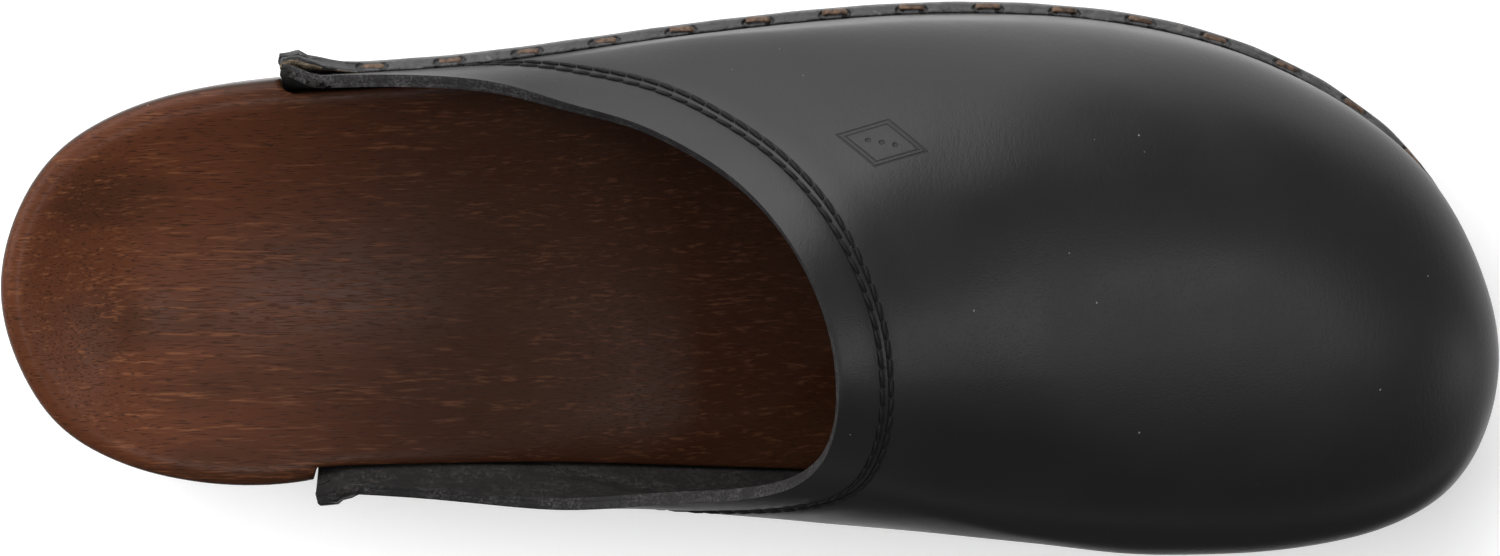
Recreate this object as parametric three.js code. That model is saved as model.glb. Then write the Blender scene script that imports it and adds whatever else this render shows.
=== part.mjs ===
// An open-backed wooden clog for the left foot. A leather upper is held by a row of staples,
// driven through a leather strip into a rebate round a carved wooden sole.
// Millimetres. The toe points to +X, the outer side of the foot is +Y, and +Z is up.
import * as THREE from 'three';

// Overall sizes, from which the rest is worked out.
const LENGTH = 275;
const BALL_WIDTH = 99;
const INSTEP_HEIGHT = 89;
const SEAT_HEIGHT = 40;

// Thicknesses and fits.
const LEATHER = 2.3;
const STRIP = 1.9;
const GAP = 0.3;
const REBATE_DEPTH = 2.8;
const REBATE_HEIGHT = 10;
const TAPER = 0.17;
const STRIP_HEIGHT = 8.6;
const STAPLE_PITCH = 14.2;
const STAPLE_LENGTH = 4.2;
const STAPLE_WIRE = 1.4;
const STAPLE_MARGIN = 16;
const STAPLE_LIFT = 0.7;
const SHOULDER = 1.6;
const STRIP_FLARE = 3.2;
const DENT = 0.8;

const toe = LENGTH / 2;
const halfBall = BALL_WIDTH / 2;

// Runs a smooth curve through a few hand-set pairs and returns height for a place along the shoe.
function profile(pairs, alongScale, heightScale) {
  const keys = pairs.map(([along, height]) => [along * alongScale, height * heightScale]);
  return (x) => {
    const last = keys.length - 2;
    let i = 0;
    while (i < last && x > keys[i + 1][0]) i += 1;
    const [x0, z0] = keys[Math.max(i - 1, 0)];
    const [x1, z1] = keys[i];
    const [x2, z2] = keys[i + 1];
    const [x3, z3] = keys[Math.min(i + 2, last + 1)];
    const span = x2 - x1;
    const slopeIn = (z2 - z0) / (x2 - x0);
    const slopeOut = (z3 - z1) / (x3 - x1);
    const t = Math.min(Math.max((x - x1) / span, 0), 1);
    const bend = t * t * (3 - 2 * t);
    const lead = t * (1 - t) * (1 - t) * slopeIn * span;
    const tail = t * t * (t - 1) * slopeOut * span;
    return z1 + (z2 - z1) * bend + lead + tail;
  };
}

const mix = (a, b, t) => a + (b - a) * t;
const smooth = (a, b, x) => THREE.MathUtils.smoothstep(x, a, b);

// Outline of the wooden sole, in parts of half the length and of half the ball width. It starts
// where the upper ends on the outer side and runs round the toe, the inner side and the heel.
const OUTLINE = [
  [-0.615, 0.785], [-0.39, 0.822], [-0.06, 0.915], [0.14, 0.957], [0.28, 0.965],
  [0.41, 0.948], [0.54, 0.903], [0.675, 0.797], [0.8, 0.618], [0.892, 0.39], [0.95, 0.1],
  [0.978, -0.2], [0.966, -0.48], [0.926, -0.7], [0.857, -0.837], [0.77, -0.915], [0.66, -0.955],
  [0.53, -0.96], [0.4, -0.925], [0.14, -0.845], [-0.09, -0.795], [-0.25, -0.76],
  [-0.4, -0.748], [-0.56, -0.752], [-0.64, -0.776], [-0.74, -0.762], [-0.84, -0.69],
  [-0.925, -0.54], [-0.98, -0.28], [-1.0, -0.02], [-0.98, 0.26], [-0.925, 0.505],
  [-0.84, 0.655], [-0.74, 0.742],
];
const outline = new THREE.CatmullRomCurve3(
  OUTLINE.map(([x, y]) => new THREE.Vector3(x * toe, y * halfBall, 0)), true, 'centripetal',
);
outline.arcLengthDivisions = 1200;

const INNER_WING_END = -0.575 * toe;

// A place on the outline and the outward direction there. Turn 0 to 1 goes once round.
function edge(turn) {
  const at = turn - Math.floor(turn);
  const point = outline.getPointAt(at);
  const along = outline.getTangentAt(at);
  return { x: point.x, y: point.y, nx: -along.y, ny: along.x };
}

// The turns at which the rebate starts, passes the toe's tip and ends.
function turnWhere(test) {
  const steps = 2000;
  for (let i = 1; i < steps; i += 1) {
    if (test(edge(i / steps))) return i / steps;
  }
  return 1;
}
let tipTurn = 0;
let heelTurn = 0.5;
for (let i = 0; i < 2000; i += 1) {
  if (edge(i / 2000).x > edge(tipTurn).x) tipTurn = i / 2000;
  if (edge(i / 2000).x < edge(heelTurn).x) heelTurn = i / 2000;
}
const wingTurn = turnWhere((at) => at.y < 0 && at.x < INNER_WING_END);

// Heights along the shoe.
const footbedMiddle = profile(
  [[-1, 1.06], [-0.84, 1], [-0.65, 0.995], [-0.36, 0.935], [0, 0.725], [0.29, 0.6],
    [0.44, 0.575], [0.73, 0.65], [1, 0.83]], toe, SEAT_HEIGHT,
);
const footbedRise = profile([[-1, 0.13], [-0.7, 0.12], [-0.3, 0.09], [0.4, 0.05], [1, 0.04]],
  toe, SEAT_HEIGHT);
const BREAST_FOOT = -0.54;
const BREAST_TOP = -0.505;
const archProfile = profile(
  [[BREAST_FOOT - 0.01, 0], [BREAST_FOOT, 0], [BREAST_TOP, 0.35], [-0.42, 0.42], [-0.3, 0.45],
    [-0.12, 0.3], [0.03, 0.02], [0.08, 0], [0.44, 0], [0.62, 0.06], [0.8, 0.18], [0.98, 0.34]],
  toe, SEAT_HEIGHT,
);
// Heel and forefoot stand flat on the ground, with the arch between and the toe sprung up.
const underside = (x) => Math.max(archProfile(x), 0);
const rimHeight = (x) => footbedMiddle(x) + footbedRise(x);
const ledgeHeight = (x) => rimHeight(x) - REBATE_HEIGHT;

// Everything below the rim draws in towards the ground by this much.
const lean = (x, z) => TAPER * Math.max(rimHeight(x) - z, 0);

// Footbed height, where reach is 0 along the middle and 1 at the rim.
function footbed(x, y, reach) {
  const archLift = 4 * Math.exp(-(((x / toe + 0.2) / 0.22) ** 2)) * smooth(0.1, 0.9, -y / halfBall);
  return footbedMiddle(x) + footbedRise(x) * reach ** 2.2 + archLift * (1 - reach ** 4);
}

// Collects points and faces into one closed body.
class Skin {
  constructor() {
    this.points = [];
    this.faces = [];
  }

  add(points) {
    const first = this.points.length;
    this.points.push(...points);
    return points.map((_, i) => first + i);
  }

  quad(a, b, c, d) {
    this.faces.push([a, b, c], [a, c, d]);
  }

  bridge(one, two, closed) {
    const count = closed ? one.length : one.length - 1;
    for (let i = 0; i < count; i += 1) {
      const next = (i + 1) % one.length;
      this.quad(one[i], two[i], two[next], one[next]);
    }
  }

  // Closes a flat loop whose two halves run beside each other.
  cap(loop) {
    const half = loop.length / 2;
    for (let i = 0; i < half - 1; i += 1) {
      this.quad(loop[i], loop[i + 1], loop[loop.length - 2 - i], loop[loop.length - 1 - i]);
    }
  }

  volume() {
    return this.faces.reduce((sum, [a, b, c]) => {
      const [p, q, r] = [this.points[a], this.points[b], this.points[c]];
      return sum + p.dot(q.clone().cross(r)) / 6;
    }, 0);
  }

  geometry() {
    const outward = this.volume() > 0;
    const index = this.faces.flatMap(([a, b, c]) => (outward ? [a, b, c] : [a, c, b]));
    const geometry = new THREE.BufferGeometry();
    geometry.setFromPoints(this.points);
    geometry.setIndex(index);
    geometry.computeVertexNormals();
    return geometry;
  }
}

// Sole: the same section of rings is drawn at each column of the outline, with a rebate cut along
// the upper's stretch. Columns pair up across the shoe, so the two faces close in even quads.
const SIDE_COLUMNS = 30;
const HEEL_COLUMNS = 12;
const STEP = 0.0012;

function soleTurns() {
  const turns = [];
  for (let i = 0; i <= SIDE_COLUMNS; i += 1) turns.push(mix(0, tipTurn, i / SIDE_COLUMNS));
  for (let i = 1; i <= SIDE_COLUMNS; i += 1) {
    turns.push(mix(tipTurn, wingTurn, i / SIDE_COLUMNS));
  }
  // One pair of columns stands at the foot of the heel's breast and the next at its top.
  [BREAST_FOOT, BREAST_TOP].forEach((part, i) => {
    turns[1 + i] = turnWhere((at) => at.y > 0 && at.x > part * toe);
    turns[2 * SIDE_COLUMNS - 1 - i] = turnWhere((at) => at.y < 0 && at.x < part * toe);
  });
  for (let i = 0; i <= HEEL_COLUMNS; i += 1) {
    turns.push(mix(wingTurn + STEP, heelTurn, i / HEEL_COLUMNS));
  }
  for (let i = 1; i <= HEEL_COLUMNS; i += 1) {
    turns.push(mix(heelTurn, 1 - STEP, i / HEEL_COLUMNS));
  }
  return turns;
}

function soleColumn(turn, spine) {
  const at = edge(turn);
  const cut = turn <= wingTurn;
  const ledge = ledgeHeight(at.x);
  const rim = rimHeight(at.x);
  const floor = underside(at.x);
  const place = (inset, z) => {
    const far = inset + lean(at.x, z);
    return new THREE.Vector3(at.x - at.nx * far, at.y - at.ny * far, z);
  };
  const inward = (inset, z, reach, height) => {
    const start = place(inset, z);
    const x = mix(spine.x, start.x, reach);
    const y = mix(spine.y, start.y, reach);
    return new THREE.Vector3(x, y, height(mix(spine.x, at.x, reach), y, reach));
  };
  const upperSide = cut
    ? [place(0, ledge - 0.7), place(0.7, ledge), place(REBATE_DEPTH, ledge),
      place(REBATE_DEPTH, rim - 1.4), place(REBATE_DEPTH + 0.5, rim - 0.4)]
    : [place(0, ledge - 0.7), place(0, ledge + 3), place(0, rim - 2.6), place(0.7, rim - 1.1),
      place(2.2, rim - 0.2)];
  const rimInset = cut ? REBATE_DEPTH + 1.8 : 4.8;
  const topRings = [1, 0.85, 0.62, 0.36, 0.1].map((reach) => inward(rimInset, rim, reach, footbed));
  return [
    ...[0.12, 0.6, 1].map((reach) => inward(1.6, floor, reach, underside)),
    place(0, floor + 1.6), place(0, mix(floor, ledge, 0.6)), ...upperSide, ...topRings,
  ];
}

// The middle line follows the columns, but stops short of the toe's and the heel's tip.
function drawnIn(x) {
  const part = Math.abs(x) / toe;
  const free = Math.min(part, 0.6) + 0.18 * (1 - Math.exp(-Math.max(part - 0.6, 0) / 0.18));
  return Math.sign(x) * free * toe;
}

function makeSole() {
  const skin = new Skin();
  const turns = soleTurns();
  const count = turns.length;
  // Column i on the outer side pairs with the column the same number of steps from the toe.
  const partner = (i) => (2 * SIDE_COLUMNS - i + count) % count;
  const columns = turns.map((turn, i) => {
    const here = edge(turn);
    const across = edge(turns[partner(i)]);
    const spine = { x: drawnIn((here.x + across.x) / 2), y: (here.y + across.y) / 2 };
    return skin.add(soleColumn(turn, spine));
  });
  for (let i = 0; i < count; i += 1) skin.bridge(columns[i], columns[(i + 1) % count], false);
  const heelFirst = 2 * SIDE_COLUMNS + HEEL_COLUMNS + 1;
  const fromHeel = (row, way) => columns.map(
    (_, i) => columns[(heelFirst + way * i + count) % count][row],
  );
  closeFace(skin, fromHeel(0, -1));
  closeFace(skin, fromHeel(columns[0].length - 1, 1));
  return skin.geometry();
}

// Closes a ring with quads across it, and one triangle at each tip.
function closeFace(skin, loop) {
  const count = loop.length;
  skin.faces.push([loop[0], loop[1], loop[count - 1]]);
  for (let i = 1; i < count / 2 - 1; i += 1) {
    skin.quad(loop[i], loop[i + 1], loop[count - i - 1], loop[count - i]);
  }
  skin.faces.push([loop[count / 2 - 1], loop[count / 2], loop[count / 2 + 1]]);
}

// Collar: the upper's top edge, from one wing end round the throat to the other, in parts of half
// the length, half the ball width and the instep height.
const COLLAR = [
  [-0.615, 0.797, 0.53], [-0.47, 0.81, 0.533], [-0.335, 0.79, 0.558], [-0.25, 0.735, 0.6],
  [-0.13, 0.665, 0.7], [-0.01, 0.51, 0.85], [0.065, 0.285, 0.955], [0.106, 0.02, 0.998],
  [0.115, -0.24, 1.0], [0.1, -0.45, 0.943], [0.062, -0.6, 0.855], [0.0, -0.69, 0.76],
  [-0.1, -0.755, 0.655], [-0.25, -0.815, 0.573], [-0.43, -0.79, 0.53], [-0.575, -0.768, 0.525],
];
const collar = new THREE.CatmullRomCurve3(
  COLLAR.map(([x, y, z]) => new THREE.Vector3(x * toe, y * halfBall, z * INSTEP_HEIGHT)),
  false, 'centripetal',
);
collar.arcLengthDivisions = 800;
const throatTurn = 0.515;

const UPPER_COLUMNS = 72;
const WALL_ROWS = [0, 0.5, 1];
const DOME_ROWS = 12;

// Along, from 0 to 1, runs round the upper from the outer wing's end to the inner wing's end. The
// columns crowd towards the throat at the top, and are evenly spaced round the sole.
function collarTurn(along) {
  const fan = (part) => 1 - (0.75 * (1 - part) ** 2 + 0.25 * (1 - part));
  if (along <= 0.5) return throatTurn * fan(2 * along);
  return 1 - (1 - throatTurn) * fan(2 * (1 - along));
}

const baseTurn = (along) => (along <= 0.5
  ? mix(0, tipTurn, 2 * along) : mix(tipTurn, wingTurn, 2 * along - 1));

function outerColumn(along) {
  const at = edge(baseTurn(along));
  const top = collar.getPointAt(collarTurn(along));
  const ledge = ledgeHeight(at.x) + GAP;
  const wall = ledge + REBATE_HEIGHT - GAP;
  const inset = REBATE_DEPTH - GAP - LEATHER;
  const out = (proud, z) => {
    const far = proud - lean(at.x, z);
    return new THREE.Vector3(at.x + at.nx * far, at.y + at.ny * far, z);
  };
  const height = top.z - wall;
  const full = smooth(5, 26, height);

  // The low wings have no room for a bulge, so they run straight from the wall to their edge.
  // Elsewhere the widest line stands a little above the strip and bulges past it.
  const wallTop = out(-inset, wall - (1 - full));
  const rows = WALL_ROWS.map((part) => out(-inset, mix(ledge, wallTop.z, part)));
  const lift = Math.min(0.42 * height, 0.155 * INSTEP_HEIGHT);
  const bulge = mix(1.3, 2.9, smooth(0.3, 0.55, along));
  const side = wallTop.clone().lerp(top, 0.2).lerp(out(bulge, wall + lift), full);
  const swell = 0.25 * full;
  rows.push(wallTop.clone().lerp(side, 0.5).add(new THREE.Vector3(at.nx, at.ny, 0)
    .multiplyScalar(swell)));

  // Above it the surface rounds over and then climbs to the collar.
  const planLength = Math.hypot(top.x - side.x, top.y - side.y);
  const climb = top.z - side.z;
  const front = smooth(0.5, 1, 1 - Math.abs(2 * along - 1));
  const reach = mix(66, 44, front) / Math.max(planLength, 1);
  const bend = (part) => Math.sqrt(1 - Math.max(1 - part / reach, 0) ** 2.4);
  const round = Math.min(mix(0.3, 0.2, front) * INSTEP_HEIGHT, 0.62 * climb) / climb;
  const steepening = mix(1.1, 1.45, front);
  for (let i = 0; i <= DOME_ROWS; i += 1) {
    const part = (i / DOME_ROWS) ** mix(1, 2, full);
    const dome = (round * bend(part)) / bend(1) + (1 - round) * part ** steepening;
    rows.push(new THREE.Vector3(
      mix(side.x, top.x, part), mix(side.y, top.y, part), side.z + climb * mix(part, dome, full),
    ));
  }
  return rows;
}

// Outward direction at a point of a grid, from its neighbours.
function gridNormal(grid, column, row) {
  const c0 = grid[Math.max(column - 1, 0)][row];
  const c1 = grid[Math.min(column + 1, grid.length - 1)][row];
  const r0 = grid[column][Math.max(row - 1, 0)];
  const r1 = grid[column][Math.min(row + 1, grid[column].length - 1)];
  return r1.clone().sub(r0).cross(c1.clone().sub(c0)).normalize();
}

function makeUpper() {
  const grid = [];
  for (let i = 0; i <= UPPER_COLUMNS; i += 1) grid.push(outerColumn(i / UPPER_COLUMNS));
  const skin = new Skin();
  const rings = grid.map((outer, c) => {
    const inner = outer.map((point, r) => {
      const normal = gridNormal(grid, c, r);
      if (r < WALL_ROWS.length) normal.setZ(0).normalize();
      return point.clone().addScaledVector(normal, -LEATHER);
    });
    return skin.add([...outer, ...inner.reverse()]);
  });
  for (let i = 0; i < UPPER_COLUMNS; i += 1) skin.bridge(rings[i], rings[i + 1], true);
  skin.cap(rings[0]);
  skin.cap(rings[UPPER_COLUMNS].reverse());
  return skin.geometry();
}

// Strip: nailed round the upper's foot. Its outer shoulder slopes, and each staple sits on it. The
// strip is pinched in at each staple and swells between, and its two ends stand off the leather.
const stripLength = outline.getLength() * wingTurn;
const stapleGaps = Math.round((stripLength - 2 * STAPLE_MARGIN) / STAPLE_PITCH);
const margin = STAPLE_MARGIN / stripLength;
const COLUMNS_PER_STAPLE = 4;
const SHOULDER_TURN = Math.PI / 4;
const stripBack = GAP - (REBATE_DEPTH - GAP - LEATHER);

// Counts staples along the strip: a whole number at each one.
const stapleCountAt = (along) => ((along - margin) / (1 - 2 * margin)) * stapleGaps;

function stripColumn(along) {
  const at = edge(wingTurn * along);
  const foot = ledgeHeight(at.x) + GAP;
  const toEnd = Math.min(along, 1 - along) * stripLength;
  const peel = STRIP_FLARE * (1 - smooth(0, 0.8 * STAPLE_MARGIN, toEnd));
  const pinch = -DENT * (0.5 + 0.5 * Math.cos(2 * Math.PI * stapleCountAt(along)));
  const face = stripBack + STRIP;
  // The ends peel away from the leather at their top, and stay close to it at their foot.
  const out = (proud, z) => {
    const peeled = proud + peel * mix(0.15, 1, z / STRIP_HEIGHT);
    const far = peeled - lean(at.x, foot + z);
    return new THREE.Vector3(at.x + at.nx * far, at.y + at.ny * far, foot + z);
  };
  const inward = pinch * Math.cos(SHOULDER_TURN);
  return [
    out(stripBack, 0), out(face - 0.5, 0), out(face, 0.8),
    out(face + 0.25 * pinch, 0.45 * STRIP_HEIGHT),
    out(face + 0.6 * pinch, STRIP_HEIGHT - SHOULDER),
    out(face - 0.5 * SHOULDER + inward, STRIP_HEIGHT - 0.5 * SHOULDER + inward),
    out(face - SHOULDER, STRIP_HEIGHT + 0.3 * pinch), out(stripBack, STRIP_HEIGHT),
  ];
}

function makeStrip() {
  const skin = new Skin();
  const rings = [];
  const inside = stapleGaps * COLUMNS_PER_STAPLE;
  const ends = [0, 0.35 * margin, 0.7 * margin];
  ends.forEach((along) => rings.push(skin.add(stripColumn(along))));
  for (let i = 0; i <= inside; i += 1) {
    rings.push(skin.add(stripColumn(mix(margin, 1 - margin, i / inside))));
  }
  ends.reverse().forEach((along) => rings.push(skin.add(stripColumn(1 - along))));
  for (let i = 0; i < rings.length - 1; i += 1) skin.bridge(rings[i], rings[i + 1], true);
  skin.cap(rings[0]);
  skin.cap(rings[rings.length - 1].reverse());
  return skin.geometry();
}

// Staple: a flat wire crown across a pinch of the strip, its shoulders turned in.
function makeStaple() {
  const skin = new Skin();
  const stations = [[-0.5, -0.1], [-0.38, 0], [0.38, 0], [0.5, -0.1]];
  const sides = 6;
  const rings = stations.map(([part, sink]) => {
    const ring = [];
    for (let i = 0; i < sides; i += 1) {
      const angle = (2 * Math.PI * i) / sides;
      const depth = 0.5 * STAPLE_WIRE * (0.5 * Math.sin(angle) + 0.5) + sink;
      ring.push(new THREE.Vector3(part * STAPLE_LENGTH, depth, 0.5 * STAPLE_WIRE * Math.cos(angle)));
    }
    return skin.add(ring);
  });
  for (let i = 0; i < rings.length - 1; i += 1) skin.bridge(rings[i], rings[i + 1], true);
  for (const ring of [rings[0], rings[rings.length - 1].reverse()]) {
    skin.quad(ring[0], ring[1], ring[2], ring[3]);
    skin.quad(ring[0], ring[3], ring[4], ring[5]);
  }
  return skin.geometry();
}

function named(name, geometry, material) {
  const mesh = new THREE.Mesh(geometry, material);
  mesh.name = name;
  return mesh;
}

function addStaples(group, geometry, material) {
  for (let i = 0; i <= stapleGaps; i += 1) {
    const at = edge(wingTurn * mix(margin, 1 - margin, i / stapleGaps));
    const sunk = (DENT - STAPLE_LIFT) * Math.cos(SHOULDER_TURN) + 0.5 * SHOULDER;
    const level = ledgeHeight(at.x) + GAP + STRIP_HEIGHT - sunk;
    const far = stripBack + STRIP - sunk - lean(at.x, level);
    const mesh = named(`staple_${String(i + 1).padStart(2, '0')}`, geometry, material);
    mesh.position.set(at.x + at.nx * far, at.y + at.ny * far, level);
    mesh.rotation.set(SHOULDER_TURN, 0, Math.atan2(at.ny, at.nx) - Math.PI / 2, 'ZYX');
    group.add(mesh);
  }
}

const wood = new THREE.MeshStandardMaterial({ color: 0x573629, roughness: 0.5, metalness: 0 });
const black = new THREE.MeshStandardMaterial({ color: 0x2b292b, roughness: 0.42, metalness: 0 });
const edging = new THREE.MeshStandardMaterial({ color: 0x343337, roughness: 0.55, metalness: 0 });
const brass = new THREE.MeshStandardMaterial({ color: 0x8a7a5e, roughness: 0.45, metalness: 0.8 });

const group = new THREE.Group();
group.add(named('sole', makeSole(), wood));
group.add(named('upper', makeUpper(), black));
group.add(named('welt_strip', makeStrip(), edging));
addStaples(group, makeStaple(), brass);

// The row's origin is under the middle of the whole shoe, on the ground.
const box = new THREE.Box3().setFromObject(group);
const centre = box.getCenter(new THREE.Vector3());
group.position.set(-centre.x, -centre.y, -box.min.z);

export default group;
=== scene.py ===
# %% [markdown]
# # An open-backed wooden clog
# The clog is a carved wooden sole with one piece of smooth black leather over the toes. The leather
# is held in a rebate round the wood by a narrow leather strip and a row of wire staples. The solid
# parts come from the frame, in metres, with the toe at +X, the outer side of the foot at +Y and the
# ground at Z 0. This script gives each of them its fine shape and its finish, and lights it.

# %% The frame
import math

import bmesh
import bpy
from mathutils import Matrix, Vector, kdtree, noise
from mathutils.bvhtree import BVHTree


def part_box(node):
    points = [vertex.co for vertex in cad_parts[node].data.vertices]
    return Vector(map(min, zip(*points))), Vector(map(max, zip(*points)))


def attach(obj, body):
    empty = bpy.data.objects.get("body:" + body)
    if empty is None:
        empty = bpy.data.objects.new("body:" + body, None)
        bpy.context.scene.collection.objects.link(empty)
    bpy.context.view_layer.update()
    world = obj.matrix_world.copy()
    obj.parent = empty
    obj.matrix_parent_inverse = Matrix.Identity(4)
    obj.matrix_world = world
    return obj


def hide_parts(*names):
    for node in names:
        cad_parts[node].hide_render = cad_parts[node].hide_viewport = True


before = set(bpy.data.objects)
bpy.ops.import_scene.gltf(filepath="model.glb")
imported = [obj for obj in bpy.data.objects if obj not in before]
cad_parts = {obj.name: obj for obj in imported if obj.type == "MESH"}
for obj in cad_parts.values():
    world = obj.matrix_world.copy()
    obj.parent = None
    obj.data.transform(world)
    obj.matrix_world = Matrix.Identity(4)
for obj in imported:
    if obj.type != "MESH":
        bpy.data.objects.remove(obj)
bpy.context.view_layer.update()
MM = 0.001
SEED = 11
noise.seed_set(SEED)

# %% [markdown]
# ## Helpers for meshes
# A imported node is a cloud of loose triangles. Its copy is merged and its triangles are paired back
# into four-sided faces, because a Subdivision Surface rounds those evenly. The node could be used as
# it is, but then every facet would show in the leather's highlight.

# %% Copies with four-sided faces
def quads_of(node):
    """A merged copy of a node, with its triangles paired into four-sided faces."""
    bm = bmesh.new()
    bm.from_mesh(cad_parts[node].data)
    bmesh.ops.remove_doubles(bm, verts=bm.verts, dist=2e-6)
    bmesh.ops.join_triangles(
        bm, faces=bm.faces, angle_face_threshold=math.pi, angle_shape_threshold=math.pi
    )
    left = sum(len(face.verts) == 3 for face in bm.faces)
    print(node, "has", len(bm.faces), "faces, of which", left, "have three sides")
    return bm


def crease_sharp(bm, angle, strength):
    """Keeps the edges that turn more than angle from being rounded away."""
    layer = bm.edges.layers.float.new("crease_edge")
    for edge in bm.edges:
        if edge.is_boundary or edge.calc_face_angle(0.0) > angle:
            edge[layer] = strength


def object_from(bm, name):
    """Puts a bmesh into the scene as a smooth-shaded object at the origin."""
    mesh = bpy.data.meshes.new(name)
    bm.to_mesh(mesh)
    bm.free()
    mesh.shade_smooth()
    obj = bpy.data.objects.new(name, mesh)
    bpy.context.scene.collection.objects.link(obj)
    return obj


def subdivided(bm, name, levels):
    """A bmesh of the same shape after a Subdivision Surface."""
    obj = object_from(bm, name)
    surface = obj.modifiers.new("round", "SUBSURF")
    surface.levels = levels
    surface.render_levels = levels
    surface.boundary_smooth = "PRESERVE_CORNERS"
    bpy.context.view_layer.update()
    shaped = obj.evaluated_get(bpy.context.evaluated_depsgraph_get()).to_mesh()
    finer = bmesh.new()
    finer.from_mesh(shaped)
    bpy.data.objects.remove(obj)
    return finer


def bump_curve(x, middle, width):
    """A soft hump of height 1."""
    return math.exp(-(((x - middle) / width) ** 2))


def smooth_step(low, high, x):
    t = min(max((x - low) / (high - low), 0.0), 1.0)
    return t * t * (3 - 2 * t)


# %% [markdown]
# ## Helpers for materials
# Each finish is a small tree of shader nodes. Writing them out one link at a time is long, so one
# helper adds a node with its settings and inputs, and the others wrap the sums that come up often.

# %% Shader nodes
def put(tree, kind, inputs=None, **settings):
    """Adds a shader node. An input that is a socket is linked, and any other is set."""
    node = tree.nodes.new("ShaderNode" + kind)
    for name, value in settings.items():
        setattr(node, name, value)
    for name, value in (inputs or {}).items():
        if isinstance(value, bpy.types.NodeSocket):
            tree.links.new(value, node.inputs[name])
        else:
            node.inputs[name].default_value = value
    return node


def calc(tree, operation, a, b=0.0, c=0.0):
    return put(tree, "Math", {0: a, 1: b, 2: c}, operation=operation).outputs[0]


def weighted(tree, *terms):
    """The sum of some values, each times its own weight."""
    total = 0.0
    for value, weight in terms:
        total = calc(tree, "MULTIPLY_ADD", value, weight, total)
    return total


def span(tree, x, y):
    """How long a line is that goes x one way and y the other, when neither is below 0."""
    squares = calc(tree, "ADD", calc(tree, "POWER", x, 2.0), calc(tree, "POWER", y, 2.0))
    return calc(tree, "SQRT", squares)


def fade(tree, value, low, high, start=0.0, end=1.0):
    """Goes smoothly from start to end while value goes from low to high."""
    inputs = {"Value": value, "From Min": low, "From Max": high, "To Min": start, "To Max": end}
    return put(tree, "MapRange", inputs, interpolation_type="SMOOTHSTEP").outputs[0]


def tint(tree, share, one, two):
    """Mixes two colours by a share from 0 to 1. The Mix node's colour sockets are 6, 7 and 2."""
    node = put(tree, "Mix", data_type="RGBA")
    for socket, value in ((node.inputs[0], share), (node.inputs[6], one), (node.inputs[7], two)):
        if isinstance(value, bpy.types.NodeSocket):
            tree.links.new(value, socket)
        else:
            socket.default_value = value
    return node.outputs[2]


def lay_on(tree, base, mask, strength, colour):
    """Lays a colour over the base where the mask is 1, more or less strongly."""
    return tint(tree, calc(tree, "MULTIPLY", mask, strength), base, colour)


def rough_noise(tree, place, scale, detail=3.0, stretch=(1, 1, 1)):
    """Noise of a given fineness per metre, drawn out along the axes."""
    turned = put(tree, "Mapping", {"Vector": place, "Scale": stretch})
    inputs = {"Vector": turned.outputs[0], "Scale": scale, "Detail": detail}
    return put(tree, "TexNoise", inputs).outputs[0]


def object_place(tree):
    return put(tree, "TexCoord").outputs["Object"]


def rgb(red, green, blue):
    return (red, green, blue, 1.0)


def new_finish(name):
    """A new material, its node tree and its Principled shader."""
    material = bpy.data.materials.new(name)
    material.use_nodes = True
    return material, material.node_tree, material.node_tree.nodes["Principled BSDF"]


def finish_with(tree, shader, colour, roughness, height, depth):
    """Feeds a colour, a roughness and a bump of a given depth in metres into the shader."""
    tree.links.new(colour, shader.inputs["Base Color"])
    tree.links.new(roughness, shader.inputs["Roughness"])
    relief = put(tree, "Bump", {"Height": height, "Distance": depth, "Strength": 1.0})
    tree.links.new(relief.outputs[0], shader.inputs["Normal"])


# %% [markdown]
# ## Shared effects
# A few specks of dust lie on any shoe from a shelf, and every cut edge and flesh side of leather shows
# fibres. Both could be drawn anew in each finish. They are groups with inputs instead, so that each
# finish uses the same specks or fibres with its own values.

# %% Dust and fibres
def group_with(name, inputs, outputs):
    """A node group with float inputs and outputs of the given kinds."""
    tree = bpy.data.node_groups.new(name, "ShaderNodeTree")
    for label, value in inputs.items():
        socket = tree.interface.new_socket(label, in_out="INPUT", socket_type="NodeSocketFloat")
        socket.default_value = value
    for label, kind in outputs.items():
        tree.interface.new_socket(label, in_out="OUTPUT", socket_type="NodeSocket" + kind)
    return tree, tree.nodes.new("NodeGroupInput"), tree.nodes.new("NodeGroupOutput")


def make_dust():
    """Sparse specks: small cells, of which only a few are kept."""
    tree, given, result = group_with(
        "Dust specks", {"Fineness": 700.0, "Size": 0.12, "Share": 0.02}, {"Mask": "Float"}
    )
    inputs = {"Vector": object_place(tree), "Scale": given.outputs["Fineness"]}
    cells = put(tree, "TexVoronoi", inputs)
    lot = put(tree, "SeparateColor", {0: cells.outputs["Color"]}).outputs[0]
    kept = calc(tree, "LESS_THAN", lot, given.outputs["Share"])
    near = calc(tree, "LESS_THAN", cells.outputs["Distance"], given.outputs["Size"])
    tree.links.new(calc(tree, "MULTIPLY", kept, near), result.inputs["Mask"])
    return tree


def make_fibres():
    """Matted short hairs: two noises drawn out in different directions."""
    tree, given, result = group_with(
        "Leather fibres", {"Fineness": 1500.0}, {"Height": "Float", "Mask": "Float"}
    )
    place = object_place(tree)
    long_hairs = rough_noise(tree, place, given.outputs["Fineness"], 4.0, (0.45, 1, 1))
    cross_hairs = rough_noise(tree, place, given.outputs["Fineness"], 5.0, (1, 0.5, 0.7))
    both = calc(tree, "MAXIMUM", long_hairs, cross_hairs)
    patches = rough_noise(tree, place, 260.0, 2.0)
    tree.links.new(both, result.inputs["Height"])
    mixed = calc(tree, "MULTIPLY", fade(tree, both, 0.45, 0.75), fade(tree, patches, 0.3, 0.65))
    tree.links.new(mixed, result.inputs["Mask"])
    return tree


dust = make_dust()
fibres = make_fibres()


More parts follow.
